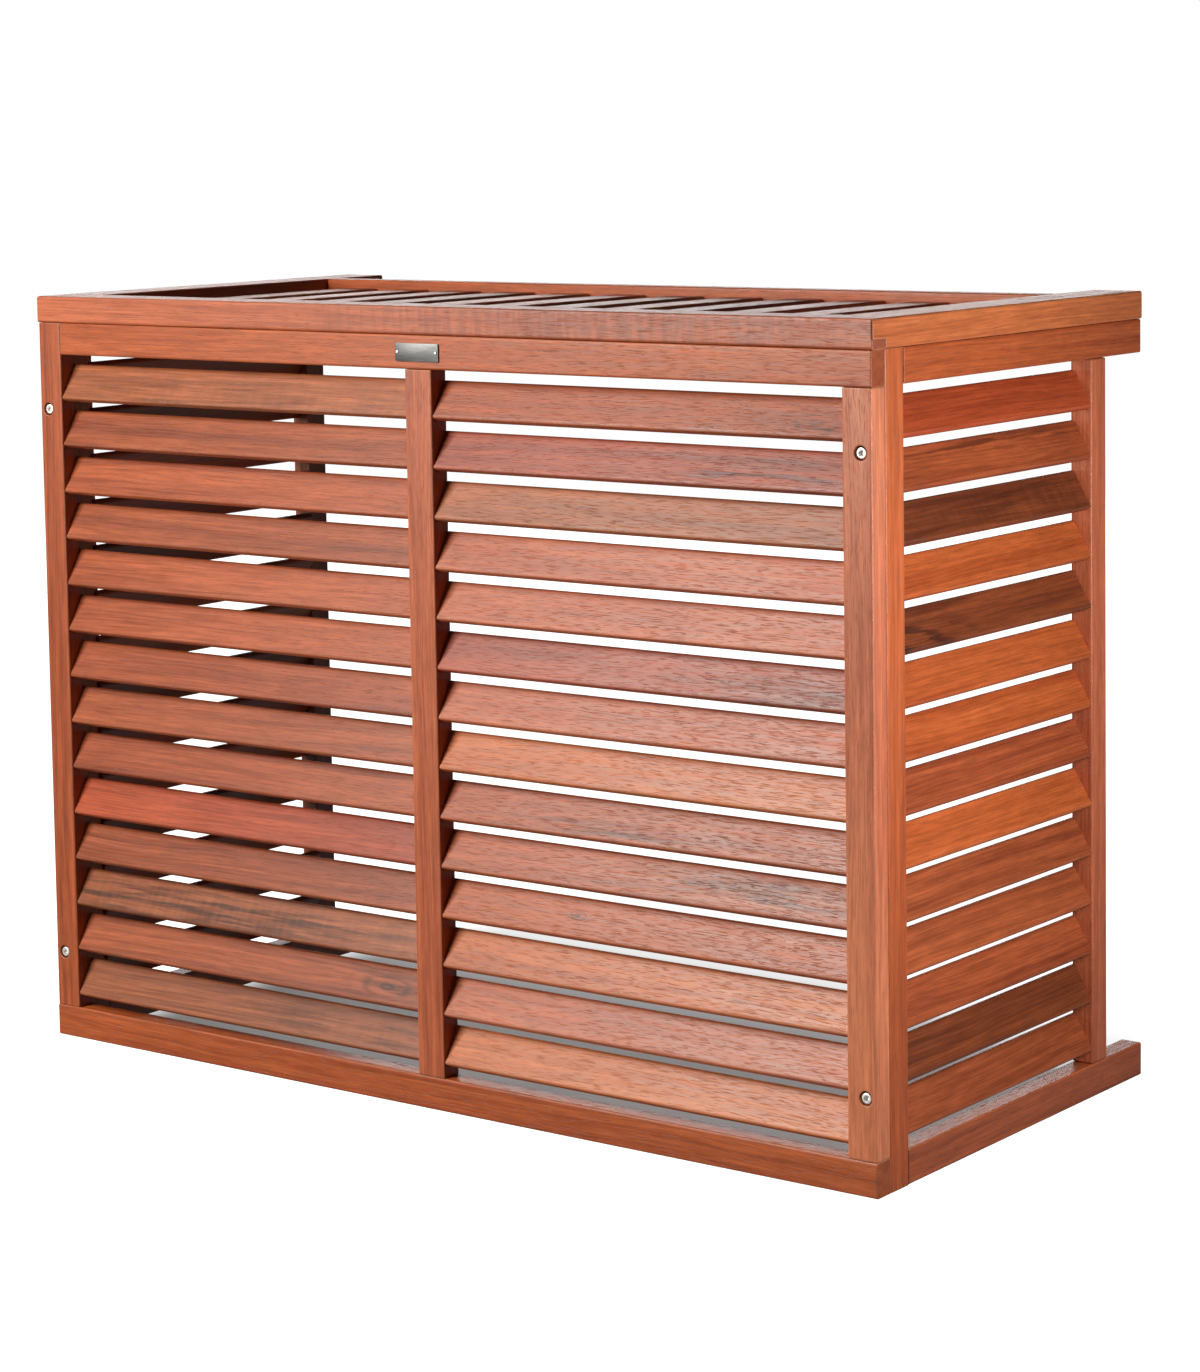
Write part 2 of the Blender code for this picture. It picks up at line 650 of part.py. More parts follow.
front_top, stile_left, stile_right, front_mullion = front_frame()
front_louvres(stile_left, stile_right, front_mullion)
stile_front_left, rail_top_left = side_panel("left", -1)
stile_front_right, rail_top_right = side_panel("right", 1)
lid_front, lid_rails = lid_frame()
lid_slats(lid_front, lid_rails)
dowels({"left": rail_top_left, "right": rail_top_right}, lid_rails)
bolts(
    {"left": stile_left, "right": stile_right},
    {"left": stile_front_left, "right": stile_front_right},
)
name_plate(front_top)
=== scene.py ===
from math import cos, pi, radians, sin

import bmesh
import bpy
from mathutils import Euler, Matrix, Vector


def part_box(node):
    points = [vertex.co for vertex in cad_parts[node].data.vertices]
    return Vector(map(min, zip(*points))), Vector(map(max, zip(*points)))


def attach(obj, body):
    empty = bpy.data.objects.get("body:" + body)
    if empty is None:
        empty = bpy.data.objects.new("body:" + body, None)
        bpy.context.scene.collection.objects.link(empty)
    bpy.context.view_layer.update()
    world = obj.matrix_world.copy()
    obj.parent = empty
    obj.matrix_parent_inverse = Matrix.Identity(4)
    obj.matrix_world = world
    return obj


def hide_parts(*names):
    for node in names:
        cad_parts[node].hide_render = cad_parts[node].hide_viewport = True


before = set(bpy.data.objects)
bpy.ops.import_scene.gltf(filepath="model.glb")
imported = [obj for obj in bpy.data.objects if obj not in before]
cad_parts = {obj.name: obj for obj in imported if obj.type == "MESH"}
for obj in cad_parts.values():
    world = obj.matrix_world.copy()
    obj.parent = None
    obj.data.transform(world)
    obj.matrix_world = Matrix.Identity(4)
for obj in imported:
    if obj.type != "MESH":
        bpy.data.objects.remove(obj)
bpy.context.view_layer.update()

# The photograph's camera: a long lens a little above the lid, turned to see the front panel and
# the right side panel. The picture is 1200 by 1372, with the lens shifted down onto the screen.
CAMERA_PLACE = (2.1038, -2.7635, 0.9446)
CAMERA_HEADING = 36.85
CAMERA_DIP = 5.324
CAMERA_ROLL = -0.862
camera_data = bpy.data.cameras.new("camera")
camera_data.lens = 92.45
camera_data.sensor_width = 36
camera_data.shift_y = -0.18
camera = bpy.data.objects.new("camera", camera_data)
bpy.context.scene.collection.objects.link(camera)
camera_turn = (
    Matrix.Rotation(radians(CAMERA_HEADING), 4, "Z")
    @ Matrix.Rotation(radians(90 - CAMERA_DIP), 4, "X")
    @ Matrix.Rotation(radians(CAMERA_ROLL), 4, "Z")
)
camera.matrix_world = Matrix.Translation(CAMERA_PLACE) @ camera_turn
bpy.context.scene.camera = camera

# The studio: a white paper floor that fades into a white room. Two soft lamps on the left, one high
# and one low, put the sheen on the tilted slats and on the upright boards. A narrow upright strip
# stands close to the right side panel, and a long low lamp behind shines along the lid's boards.
FLOOR_RADIUS = 60
ROOM_GLOW = 0.03
PAPER_BOUNCE = (0.06, 0.85)
PAPER_SHEEN = 0.2
PAPER_IN_SHADE = 0.16
SHADE_SIDES = (0.54, 0.42)
SHADE_FRONT = (-0.25, -0.21)
SHADE_BACK = (0.6, 0.05)


def node(tree, kind, wired=None, **settings):
    """A node with its settings made, and each socket in wired linked or set to a value."""
    made = tree.nodes.new(kind if kind.startswith("Node") else "ShaderNode" + kind)
    for name, value in settings.items():
        setattr(made, name, value)
    for socket, value in (wired or {}).items():
        if isinstance(value, bpy.types.NodeSocket):
            tree.links.new(value, made.inputs[socket])
        else:
            made.inputs[socket].default_value = value
    return made


def maths(tree, operation, first, second=0.0, clamped=False):
    return node(tree, "Math", {0: first, 1: second}, operation=operation, use_clamp=clamped).outputs[0]


def spread(tree, value, low, high, new_low=0.0, new_high=1.0):
    """A value eased from the range low to high onto a new one."""
    return node(
        tree, "MapRange",
        {"Value": value, "From Min": low, "From Max": high, "To Min": new_low, "To Max": new_high},
        interpolation_type="SMOOTHSTEP",
    ).outputs["Result"]


def noise(tree, place, scale, detail, rough=0.5):
    return node(
        tree, "TexNoise", {"Vector": place, "Scale": scale, "Detail": detail, "Roughness": rough},
    ).outputs


def colour(red, green, blue):
    return tuple(((c / 255 + 0.055) / 1.055) ** 2.4 for c in (red, green, blue)) + (1.0,)


def scene_object(name, bm, finish):
    """An object of one finish from a finished bmesh, which is freed."""
    mesh = bpy.data.meshes.new(name)
    bm.to_mesh(mesh)
    bm.free()
    mesh.materials.append(finish)
    made = bpy.data.objects.new(name, mesh)
    bpy.context.scene.collection.objects.link(made)
    return made


room = bpy.data.worlds.new("white_room")
room.use_nodes = True
backdrop = room.node_tree.nodes["Background"]
seen = node(room.node_tree, "LightPath").outputs["Is Camera Ray"]
room.node_tree.links.new(
    spread(room.node_tree, seen, 0.0, 1.0, ROOM_GLOW, 1.0), backdrop.inputs["Strength"],
)
backdrop.inputs["Color"].default_value = (1, 1, 1, 1)
bpy.context.scene.world = room
bpy.context.scene.view_settings.view_transform = "Standard"

paper = bpy.data.materials.new("white_paper")
paper.use_nodes = True
tree = paper.node_tree
ground = node(tree, "TexCoord").outputs["Object"]
tooth = spread(tree, noise(tree, ground, 40.0, 3.0)["Fac"], 0.3, 0.7, 0.97, 1.0)
rays = node(tree, "LightPath").outputs
seen = rays["Is Camera Ray"]
# The camera sees the paper glow white, but under and behind the screen the glow fades to PAPER_IN_SHADE:
# a painted shadow.
across, back = node(tree, "SeparateXYZ", {0: ground}).outputs[:2]
across = maths(tree, "ABSOLUTE", across)
shade = maths(tree, "MULTIPLY", spread(tree, across, *SHADE_SIDES), spread(tree, back, *SHADE_FRONT))
shade = maths(tree, "MULTIPLY", shade, spread(tree, back, *SHADE_BACK))
lit = maths(tree, "MULTIPLY", seen, spread(tree, shade, 0.0, 1.0, 1.0, PAPER_IN_SHADE))
lit = maths(tree, "ADD", lit, maths(tree, "MULTIPLY", rays["Is Glossy Ray"], PAPER_SHEEN))
bounce = maths(tree, "MULTIPLY", spread(tree, seen, 0.0, 1.0, *PAPER_BOUNCE), tooth)
shader = tree.nodes["Principled BSDF"]
tree.links.new(bounce, shader.inputs["Base Color"])
tree.links.new(lit, shader.inputs["Emission Strength"])
shader.inputs["Emission Color"].default_value = (1, 1, 1, 1)
shader.inputs["Roughness"].default_value = 0.9
shader.inputs["Specular IOR Level"].default_value = 0.0

bm = bmesh.new()
bmesh.ops.create_circle(bm, cap_ends=True, segments=96, radius=FLOOR_RADIUS)
scene_object("floor", bm, paper)

for name, place, aim, size, power, tint in (
    ("sheen_lamp", (-1.05, -2.1, 2.05), (0.2, 0.0, 0.25), (1.1, 1.1), 60.0, (1.0, 0.97, 0.91)),
    ("front_lamp", (-1.3, -3.1, 0.9), (0.2, -0.2, 0.35), (1.6, 0.7), 53.0, (1.0, 0.97, 0.9)),
    ("side_lamp", (1.14, -0.17, 0.54), (0.5, -0.1, 0.35), (0.1, 0.5), 7.0, (1.0, 1.0, 1.0)),
    ("low_lamp", (-3.2, 3.6, 1.5), (0.0, 0.0, 0.7), (4.0, 1.0), 42.0, (1.0, 1.0, 1.0)),
):
    lamp_data = bpy.data.lights.new(name, "AREA")
    lamp_data.shape = "RECTANGLE"
    lamp_data.size, lamp_data.size_y = size
    lamp_data.energy = power
    lamp_data.color = tint
    lamp = bpy.data.objects.new(name, lamp_data)
    bpy.context.scene.collection.objects.link(lamp)
    lamp.visible_camera = False
    lamp.location = place
    lamp.rotation_euler = (Vector(aim) - Vector(place)).to_track_quat("-Z", "Y").to_euler()

# The front frame: two rails, two stiles and a middle mullion, planed from 22 mm oiled reddish
# hardwood, tenoned together, the top rail running over the right stile.
RING_SPACING = 0.011
RING_STRETCH = 0.02
RING_DEPTH = 0.3
STREAK_DEPTH = 0.5
DRIFT_DEPTH = 0.4
GRAIN_WANDER = 0.022
PORE_DEPTH = 0.28


def add_sockets(group, direction, kinds):
    for name, kind in kinds.items():
        group.interface.new_socket(name, in_out=direction, socket_type="NodeSocket" + kind)


def vector_maths(tree, operation, first, second=None):
    """A sum on vectors, which gives a value where it is a length or a dot product."""
    wired = {0: first} if second is None else {0: first, 1: second}
    made = node(tree, "VectorMath", wired, operation=operation)
    return made.outputs["Value" if operation in ("LENGTH", "DOT_PRODUCT") else "Vector"]


def tinted(tree, tint, light):
    return node(tree, "VectorMath", {0: tint, "Scale": light}, operation="SCALE").outputs["Vector"]


def mixed(tree, amount, under, over):
    return node(tree, "Mix", {"Factor": amount, 6: under, 7: over}, data_type="RGBA").outputs[2]


def stretched(tree, grain, along, across, detail, rough=0.5):
    """Noise drawn out along the grain."""
    return noise(tree, vector_maths(tree, "MULTIPLY", grain, (along, across, across)), 1.0, detail, rough)


# Growth rings, streaks, fibres and pores, with the grain along x.
wood_figure = bpy.data.node_groups.new("wood_figure", "ShaderNodeTree")
add_sockets(wood_figure, "INPUT", {"Grain": "Vector", "Pale": "Color", "Deep": "Color", "Vein": "Color"})
add_sockets(wood_figure, "OUTPUT", {"Color": "Color", "Roughness": "Float", "Height": "Float"})
held = node(wood_figure, "NodeGroupInput").outputs
wander = stretched(wood_figure, held["Grain"], 2.0, 7.0, 2.0)["Color"]
wander = vector_maths(wood_figure, "SUBTRACT", wander, (0.5, 0.5, 0.5))
wander = vector_maths(wood_figure, "MULTIPLY", wander, (0.0, GRAIN_WANDER, GRAIN_WANDER))
bent = vector_maths(wood_figure, "ADD", held["Grain"], wander)
heart = vector_maths(wood_figure, "MULTIPLY", bent, (RING_STRETCH, 1.0, 1.0))
ring = maths(wood_figure, "DIVIDE", vector_maths(wood_figure, "LENGTH", heart), RING_SPACING)
ring = maths(wood_figure, "FRACT", ring)
rings = maths(
    wood_figure, "SUBTRACT", spread(wood_figure, ring, 0.0, 0.8), spread(wood_figure, ring, 0.84, 1.0),
)
streaks = spread(wood_figure, stretched(wood_figure, bent, 1.4, 85.0, 5.0, 0.62)["Fac"], 0.42, 0.68)
drift = spread(wood_figure, stretched(wood_figure, held["Grain"], 1.1, 9.0, 1.0)["Fac"], 0.3, 0.7)
fibres = stretched(wood_figure, bent, 13.0, 560.0, 4.0)["Fac"]
pores = spread(wood_figure, stretched(wood_figure, bent, 70.0, 1300.0, 1.0)["Fac"], 0.56, 0.72)
depth = maths(wood_figure, "MULTIPLY", rings, RING_DEPTH)
depth = maths(wood_figure, "ADD", depth, maths(wood_figure, "MULTIPLY", streaks, STREAK_DEPTH))
depth = maths(wood_figure, "ADD", depth, maths(wood_figure, "MULTIPLY", drift, DRIFT_DEPTH), clamped=True)
wood = mixed(wood_figure, depth, held["Pale"], held["Deep"])
wood = mixed(wood_figure, maths(wood_figure, "MULTIPLY", pores, PORE_DEPTH), wood, held["Vein"])
mottle = stretched(wood_figure, bent, 38.0, 150.0, 2.0)["Fac"]
fibre_light = maths(
    wood_figure, "MULTIPLY",
    spread(wood_figure, fibres, 0.3, 0.7, 0.81, 1.14), spread(wood_figure, mottle, 0.3, 0.7, 0.93, 1.07),
)
satin = maths(
    wood_figure, "ADD",
    spread(wood_figure, fibres, 0.3, 0.7, 0.31, 0.42), maths(wood_figure, "MULTIPLY", pores, 0.2),
)
relief = maths(wood_figure, "SUBTRACT", maths(wood_figure, "MULTIPLY", fibres, 0.5), pores)
node(
    wood_figure, "NodeGroupOutput",
    {"Color": tinted(wood_figure, wood, fibre_light), "Roughness": satin, "Height": relief},
)

# A knot, or a dark run of gum lines, round one point of a board.
dark_figure = bpy.data.node_groups.new("dark_figure", "ShaderNodeTree")
add_sockets(dark_figure, "INPUT", {
    "Grain": "Vector", "Place": "Vector", "Middle": "Vector", "Reach": "Vector",
    "Gum": "Float", "Rings": "Float", "Ripple": "Float",
})
add_sockets(dark_figure, "OUTPUT", {"Dark": "Float"})
held = node(dark_figure, "NodeGroupInput").outputs
away = vector_maths(dark_figure, "SUBTRACT", held["Place"], held["Middle"])
away = vector_maths(dark_figure, "LENGTH", vector_maths(dark_figure, "DIVIDE", away, held["Reach"]))
gum = stretched(dark_figure, held["Grain"], 9.0, 170.0, 4.0, 0.6)["Fac"]
loops = maths(dark_figure, "ADD", away, maths(dark_figure, "MULTIPLY", gum, 0.5))
loops = maths(dark_figure, "SINE", maths(dark_figure, "MULTIPLY", loops, 21.0))
loops = maths(dark_figure, "MULTIPLY", spread(dark_figure, loops, -0.2, 1.0), held["Rings"])
gum_lines = maths(dark_figure, "MULTIPLY", spread(dark_figure, gum, 0.46, 0.62), held["Gum"])
ripple = spread(dark_figure, stretched(dark_figure, held["Grain"], 150.0, 22.0, 2.0)["Fac"], 0.35, 0.65)
ripple = maths(dark_figure, "MULTIPLY", ripple, held["Ripple"])
dark_marks = maths(dark_figure, "ADD", maths(dark_figure, "ADD", gum_lines, loops), ripple, clamped=True)
dark_marks = maths(dark_figure, "MULTIPLY", spread(dark_figure, away, 1.0, 0.15), dark_marks)
node(dark_figure, "NodeGroupOutput", {"Dark": dark_marks})

# Arrises made lighter, part rubbed wear and part painted highlight, and darker cut ends, worked out from
# how the surface turns.
wood_edges = bpy.data.node_groups.new("wood_edges", "ShaderNodeTree")
add_sockets(wood_edges, "INPUT", {"Width": "Float", "Turned": "Vector"})
add_sockets(wood_edges, "OUTPUT", {"Rubbed_and_highlight": "Float", "End": "Float", "Normal": "Vector"})
held = node(wood_edges, "NodeGroupInput").outputs
softened = node(wood_edges, "Bevel", {"Radius": held["Width"]}, samples=6).outputs["Normal"]
flat_normal = node(wood_edges, "NewGeometry").outputs["True Normal"]
agreement = vector_maths(wood_edges, "DOT_PRODUCT", softened, flat_normal)
along = maths(wood_edges, "ABSOLUTE", node(wood_edges, "SeparateXYZ", {0: held["Turned"]}).outputs[0])
node(
    wood_edges, "NodeGroupOutput",
    {"Rubbed_and_highlight": spread(wood_edges, agreement, 0.97, 0.8), "End": spread(wood_edges, along, 0.6, 0.9),
     "Normal": softened},
)

GRAIN_TURNS = {"x": (0, 0, 0), "y": (0, 0, radians(90)), "z": (0, radians(90), 0)}
HEART_PLACE = (0.0, 0.05, -0.31)
HEART_STEP = (1.7, 0.013, -0.019)
TONES = {
    "tan": ((208, 118, 66), (174, 88, 46), (118, 56, 30)),
    "orange": ((192, 97, 48), (158, 71, 32), (96, 40, 20)),
    "red": ((186, 82, 44), (150, 60, 31), (90, 34, 20)),
    "brown": ((180, 90, 50), (140, 64, 35), (82, 36, 20)),
    "grey": ((180, 102, 62), (134, 72, 43), (80, 42, 26)),
    # The tone below is brown made a little darker: painted shade for the front's left bay and the lower
    # slats of the right side panel, where less light falls.
    "brown_in_shade": ((174, 88, 49), (135, 63, 34), (80, 36, 20)),
    "plum": ((174, 82, 54), (126, 56, 40), (70, 30, 24)),
    "pink": ((198, 108, 70), (164, 80, 50), (104, 48, 32)),
    "dark": ((142, 70, 36), (96, 44, 23), (54, 24, 15)),
    # The tone below is a lighter, whiter copy of pink for the right front stile: painted light and sheen.
    "pink_with_sheen": ((218, 131, 91), (184, 99, 67), (127, 66, 45)),
}
# Arrises are mixed towards this lighter wood: part rubbed wear, part a painted highlight on the rounded
# edges.
RUBBED_AND_HIGHLIGHT_WOOD = (238, 172, 130)
ARRIS_WIDTH = 0.0022
RUBBED_AND_HIGHLIGHT_DEPTH = 0.5
CUT_END_DEPTH = 0.45
GRAIN_RELIEF = 0.35
PORE_RELIEF = 0.0004
hardwoods = {}


def hardwood(tone, grain, figure=None):
    """The finish of one tone, with its grain running along x, y or z. Made once.

    figure is a dark figure's name, middle and reach, then how much gum, knot rings and ripple it has.
    """
    name = f"hardwood_{tone}_{grain}" + (f"_{figure[0]}" if figure else "")
    if name in hardwoods:
        return hardwoods[name]
    finish = bpy.data.materials.new(name)
    finish.use_nodes = True
    tree = finish.node_tree
    pale, deep, vein = (colour(*part) for part in TONES[tone])
    number = list(TONES).index(tone)
    heart_place = [start + number * step for start, step in zip(HEART_PLACE, HEART_STEP)]
    place = node(tree, "TexCoord").outputs
    turn = Euler(GRAIN_TURNS[grain]).to_matrix().transposed().to_euler()
    turned = node(
        tree, "Mapping", {"Vector": place["Object"], "Rotation": turn, "Location": heart_place},
    ).outputs[0]
    turned_normal = node(tree, "Mapping", {"Vector": place["Normal"], "Rotation": turn}).outputs[0]
    wood = node(
        tree, "Group", {"Grain": turned, "Pale": pale, "Deep": deep, "Vein": vein}, node_tree=wood_figure,
    ).outputs
    board_colour = wood["Color"]
    if figure:
        marks = dict(zip(("Middle", "Reach", "Gum", "Rings", "Ripple"), figure[1:]))
        dark = node(
            tree, "Group", {"Grain": turned, "Place": place["Object"], **marks}, node_tree=dark_figure,
        ).outputs["Dark"]
        board_colour = mixed(tree, dark, board_colour, vein)
    edges = node(
        tree, "Group", {"Width": ARRIS_WIDTH, "Turned": turned_normal}, node_tree=wood_edges,
    ).outputs
    board_colour = mixed(tree, maths(tree, "MULTIPLY", edges["End"], CUT_END_DEPTH), board_colour, vein)
    # Lighter along the arrises: part rubbed wear, part painted highlight.
    board_colour = mixed(
        tree, maths(tree, "MULTIPLY", edges["Rubbed_and_highlight"], RUBBED_AND_HIGHLIGHT_DEPTH), board_colour, colour(*RUBBED_AND_HIGHLIGHT_WOOD),
    )
    bump = node(
        tree, "Bump",
        {"Height": wood["Height"], "Normal": edges["Normal"], "Strength": GRAIN_RELIEF,
         "Distance": PORE_RELIEF},
    )
    shader = tree.nodes["Principled BSDF"]
    tree.links.new(board_colour, shader.inputs["Base Color"])
    tree.links.new(wood["Roughness"], shader.inputs["Roughness"])
    tree.links.new(bump.outputs["Normal"], shader.inputs["Normal"])
    hardwoods[name] = finish
    return finish


def finish_node(name, finish):
    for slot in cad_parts[name].material_slots:
        slot.material = finish


# The right stile's lighter tone is painted light and sheen.
for name, tone, grain in (
    ("front_rail_bottom", "orange", "x"), ("front_rail_top", "orange", "x"),
    ("front_stile_left", "brown", "z"), ("front_stile_right", "pink_with_sheen", "z"),
    ("front_mullion", "pink", "z"),
):
    finish_node(name, hardwood(tone, grain))

# The front louvres: fourteen slats in each bay, 40 by 9 mm with rounded edges, set at 30 degrees
# in housings in the stiles and the mullion. Each is its own hardwood board, with its own tone.
# The left bay's darker brown tone is painted shade for the weaker light at that end.
LOUVRE_TONES = {
    "left": (
        "grey", "brown_in_shade", "brown", "brown_in_shade", "brown", "brown", "brown",
        "brown_in_shade", "brown", "red", "brown_in_shade", "grey", "brown_in_shade", "grey",
    ),
    "right": (
        "brown", "plum", "grey", "pink", "pink", "plum", "pink",
        "tan", "brown", "brown", "orange", "tan", "pink", "tan",
    ),
}
LOUVRE_FIGURES = {
    "left_01": ("streaked", (-0.2, -0.23, 0.67), (0.5, 0.04, 0.03), 0.35, 0.0, 0.1),
    "left_12": ("dark_left", (-0.3, -0.23, 0.155), (0.5, 0.04, 0.03), 0.8, 0.1, 0.2),
    "left_13": ("knot_left", (-0.06, -0.23, 0.109), (0.07, 0.03, 0.02), 0.7, 0.5, 0.0),
    "left_14": ("slant_left", (-0.12, -0.23, 0.06), (0.2, 0.04, 0.03), 0.6, 0.1, 0.1),
    "right_01": ("knot_right", (0.44, -0.23, 0.672), (0.05, 0.03, 0.022), 0.8, 0.4, 0.0),
    "right_02": ("gum_right", (0.38, -0.23, 0.622), (0.24, 0.04, 0.018), 0.8, 0.0, 0.0),
    "right_06": ("end_right", (0.43, -0.23, 0.435), (0.12, 0.04, 0.03), 0.4, 0.0, 0.2),
    "right_09": ("slant_right", (0.2, -0.23, 0.29), (0.2, 0.04, 0.015), 0.7, 0.0, 0.0),
    "right_10": ("dark_right", (0.36, -0.23, 0.252), (0.22, 0.04, 0.022), 0.6, 0.0, 0.2),
    "right_11": ("small_knot", (0.17, -0.23, 0.207), (0.02, 0.02, 0.009), 0.8, 0.8, 0.0),
}
for bay, tones in LOUVRE_TONES.items():
    for number, tone in enumerate(tones, 1):
        figure = LOUVRE_FIGURES.get(f"{bay}_{number:02}")
        finish_node(f"louvre_{bay}_{number:02}", hardwood(tone, "x", figure))

# The side panels: a front stile, two rails that run on behind, fourteen louvres of the same
# section as the front's, and a rear stile stub-tenoned between the rails, all of the same hardwood.
SLAT_WIDTH = 0.04
SLAT_THICKNESS = 0.009
SLAT_TILT = radians(30)
SLAT_ROUND = 0.0025
SLAT_SETBACK = 0.0003
SLAT_HOUSED = 0.001
BOARD_THICKNESS = 0.022
BOARD_EASE = 0.0015
EASE_STEPS = 4
REAR_STILE_WIDTH = 0.028
JOINT_GAP = 0.0003


def place_piece(piece, body):
    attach(piece, body)
    return piece


def planed(name, size, place, ease, finish, body):
    """A planed board: its size, then where it lies, with eased arrises that shade smoothly."""
    bm = bmesh.new()
    bmesh.ops.create_cube(bm, size=1)
    bmesh.ops.scale(bm, vec=size, verts=bm.verts)
    bmesh.ops.bevel(
        bm, geom=bm.edges[:], offset=ease, segments=EASE_STEPS, profile=0.5, affect="EDGES", material=-1,
    )
    bmesh.ops.transform(bm, matrix=place, verts=bm.verts)
    for face in bm.faces:
        face.smooth = face.calc_area() < 4 * ease * max(size)
    return place_piece(scene_object(name, bm, finish), body)


# The left panel, seen only from inside the box, has darker tones than the right, and its rear stile the
# dark tone: painted shade for the dim inside.
SIDE_TONES_AND_SHADE = {
    "left": (
        "brown", "dark", "brown", "plum", "dark", "brown", "grey",
        "dark", "plum", "brown", "dark", "brown", "plum", "dark",
    ),
    "right": (
        "red", "brown", "dark", "orange", "dark", "orange", "orange",
        "brown", "orange", "brown_in_shade", "brown_in_shade", "brown", "dark", "brown_in_shade",
    ),
}
REAR_STILE_TONES_AND_SHADE = {"left": "dark", "right": "pink"}
SIDE_FIGURES = {
    2: ("dark_band", (0.49, 0.0, 0.64), (0.1, 0.3, 0.012), 0.8, 0.1, 0.0),
    3: ("mottled_side", (0.49, 0.05, 0.582), (0.1, 0.3, 0.03), 0.25, 0.0, 0.2),
    5: ("swirl", (0.49, -0.2, 0.465), (0.1, 0.2, 0.06), 0.4, 1.0, 0.0),
}
for side, sign in (("left", -1), ("right", 1)):
    finish_node(f"side_{side}_stile_front", hardwood("orange", "z"))
    finish_node(f"side_{side}_rail_top", hardwood("orange", "y"))
    finish_node(f"side_{side}_rail_bottom", hardwood("brown", "y"))
    ladder = f"side_{side}_louvres_and_rear_stile"
    ladder_low, ladder_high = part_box(ladder)
    stile_low, stile_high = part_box(f"side_{side}_stile_front")
    face_x = stile_high.x if sign > 0 else stile_low.x
    foot_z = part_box(f"side_{side}_rail_bottom")[1].z + JOINT_GAP
    head_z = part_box(f"side_{side}_rail_top")[0].z - JOINT_GAP
    stile_tone_and_shade = REAR_STILE_TONES_AND_SHADE[side]
    stile = planed(
        f"side_{side}_stile_rear", (BOARD_THICKNESS, REAR_STILE_WIDTH, head_z - foot_z),
        Matrix.Translation((
            face_x - sign * BOARD_THICKNESS / 2, ladder_high.y - REAR_STILE_WIDTH / 2,
            (foot_z + head_z) / 2,
        )),
        BOARD_EASE, hardwood(stile_tone_and_shade, "z"), "screen",
    )
    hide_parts(ladder)
    slat_start, slat_end = ladder_low.y, ladder_high.y - REAR_STILE_WIDTH + SLAT_HOUSED
    for number, tone in enumerate(SIDE_TONES_AND_SHADE[side], 1):
        low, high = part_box(f"louvre_left_{number:02}")
        inset = (high.y - low.y) / 2 + SLAT_SETBACK
        slat = planed(
            f"side_{side}_louvre_{number:02}",
            (slat_end - slat_start, SLAT_THICKNESS, SLAT_WIDTH),
            Matrix.Translation((
                face_x - sign * inset, (slat_start + slat_end) / 2, (low.z + high.z) / 2,
            ))
            @ Matrix.Rotation(sign * pi / 2, 4, "Z") @ Matrix.Rotation(-SLAT_TILT, 4, "X"),
            SLAT_ROUND, hardwood(tone, "y", SIDE_FIGURES.get(number)), "screen",
        )
        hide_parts(ladder)

# The bolts: bright steel M6 socket-head screws in counterbores, two in each front stile. They draw
# the front panel onto threaded brass inserts in the side panels.
BOLT_SIDES = 48
HEAD_RADIUS = 0.005
HEAD_HEIGHT = 0.006
SHANK_RADIUS = 0.003
HEAD_ROUNDING = ((HEAD_RADIUS, -0.0009), (0.00488, -0.0004), (0.0046, -0.0001), (0.0042, 0.0))
SHANK_CHAMFER = (0.0006, 0.0008)
SOCKET_SIDES = 6
SOCKET_MOUTH = 0.00285
SOCKET_RADIUS = 0.0025
SOCKET_LEAD = 0.00035
SOCKET_DEPTH = 0.0032
DRILL_POINT = (0.0008, 0.0038)
SHARP_CORNER = radians(35)
FINE_RUBBING = (900, 900, 900)

metal_rubbing = bpy.data.node_groups.new("metal_rubbing", "ShaderNodeTree")
add_sockets(metal_rubbing, "INPUT", {
    "Place": "Vector", "Rubbing": "Vector", "Tint": "Color", "Roughness": "Float",
})
add_sockets(metal_rubbing, "OUTPUT", {"Color": "Color", "Roughness": "Float", "Height": "Float"})
held = node(metal_rubbing, "NodeGroupInput").outputs
rubbing = vector_maths(metal_rubbing, "MULTIPLY", held["Place"], held["Rubbing"])
rubbing = noise(metal_rubbing, rubbing, 1.0, 4.0)["Fac"]
smudge = noise(metal_rubbing, held["Place"], 90.0, 2.0)["Fac"]
metal_light = maths(
    metal_rubbing, "ADD",
    spread(metal_rubbing, rubbing, 0.3, 0.7, -0.06, 0.06),
    spread(metal_rubbing, smudge, 0.3, 0.7, 0.9, 1.0),
)
metal_satin = maths(
    metal_rubbing, "ADD", held["Roughness"], spread(metal_rubbing, rubbing, 0.3, 0.7, -0.05, 0.08),
)
node(
    metal_rubbing, "NodeGroupOutput",
    {"Color": tinted(metal_rubbing, held["Tint"], metal_light), "Roughness": metal_satin,
     "Height": rubbing},
)


def bare_metal(name, tint, rough, rubbing, relief=0.15):
    """Bare metal with fine rubbing marks, as close along x, y and z as rubbing says."""
    finish = bpy.data.materials.new(name)
    finish.use_nodes = True
    tree = finish.node_tree
    place = node(tree, "TexCoord").outputs["Object"]
    rubbed = node(
        tree, "Group", {"Place": place, "Rubbing": rubbing, "Tint": colour(*tint), "Roughness": rough},
        node_tree=metal_rubbing,
    ).outputs
    bump = node(tree, "Bump", {"Height": rubbed["Height"], "Strength": relief, "Distance": 0.0002})
    shader = tree.nodes["Principled BSDF"]
    shader.inputs["Metallic"].default_value = 1.0
    tree.links.new(rubbed["Color"], shader.inputs["Base Color"])
    tree.links.new(rubbed["Roughness"], shader.inputs["Roughness"])
    tree.links.new(bump.outputs["Normal"], shader.inputs["Normal"])
    return finish


